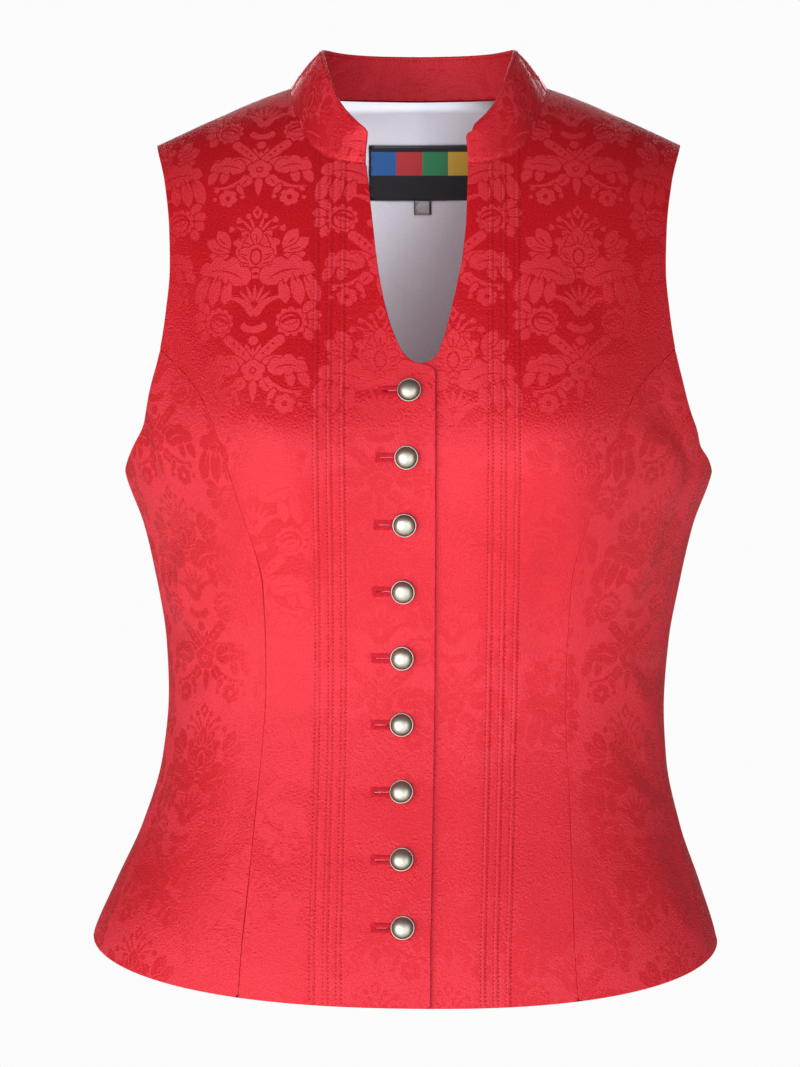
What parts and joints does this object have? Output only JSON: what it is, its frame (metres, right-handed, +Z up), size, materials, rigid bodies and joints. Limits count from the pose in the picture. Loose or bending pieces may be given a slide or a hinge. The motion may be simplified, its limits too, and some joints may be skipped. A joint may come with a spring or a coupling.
{
  "type": "women's dirndl bodice (stand-collar damask waistcoat)",
  "caption": "Sleeveless fitted damask bodice, filled out as worn, with a stand collar, open teardrop neck, pin tucks and a buttoned front.",
  "frame": {"origin": "midway between the two points where the shoulder seams meet the collar, at the height where the cloth bears on the wearer's shoulders", "axes": "+Z up, -Y out of the front, +X to the wearer's left"},
  "size_m": [0.3774, 0.2605, 0.5702],
  "materials": {
    "damask": "red satin damask, tone on tone",
    "lining": "plain white lining cloth",
    "label": "dark woven label, no text",
    "size_tab": "grey woven tape, blank",
    "button_metal": "aged pewter, softly polished dome"
  },
  "bodies": {
    "root": {"front_right": "damask", "front_left": "damask", "side_front_right": "damask", "side_front_left": "damask", "side_back_right": "damask", "side_back_left": "damask", "back": "damask", "collar": "damask", "lining_back": "lining", "neck_label": "label", "size_tab": "size_tab", "button_1": "button_metal", "button_2": "button_metal", "button_3": "button_metal", "button_4": "button_metal", "button_5": "button_metal", "button_6": "button_metal", "button_7": "button_metal", "button_8": "button_metal", "button_9": "button_metal"}
  },
  "joints": []
}
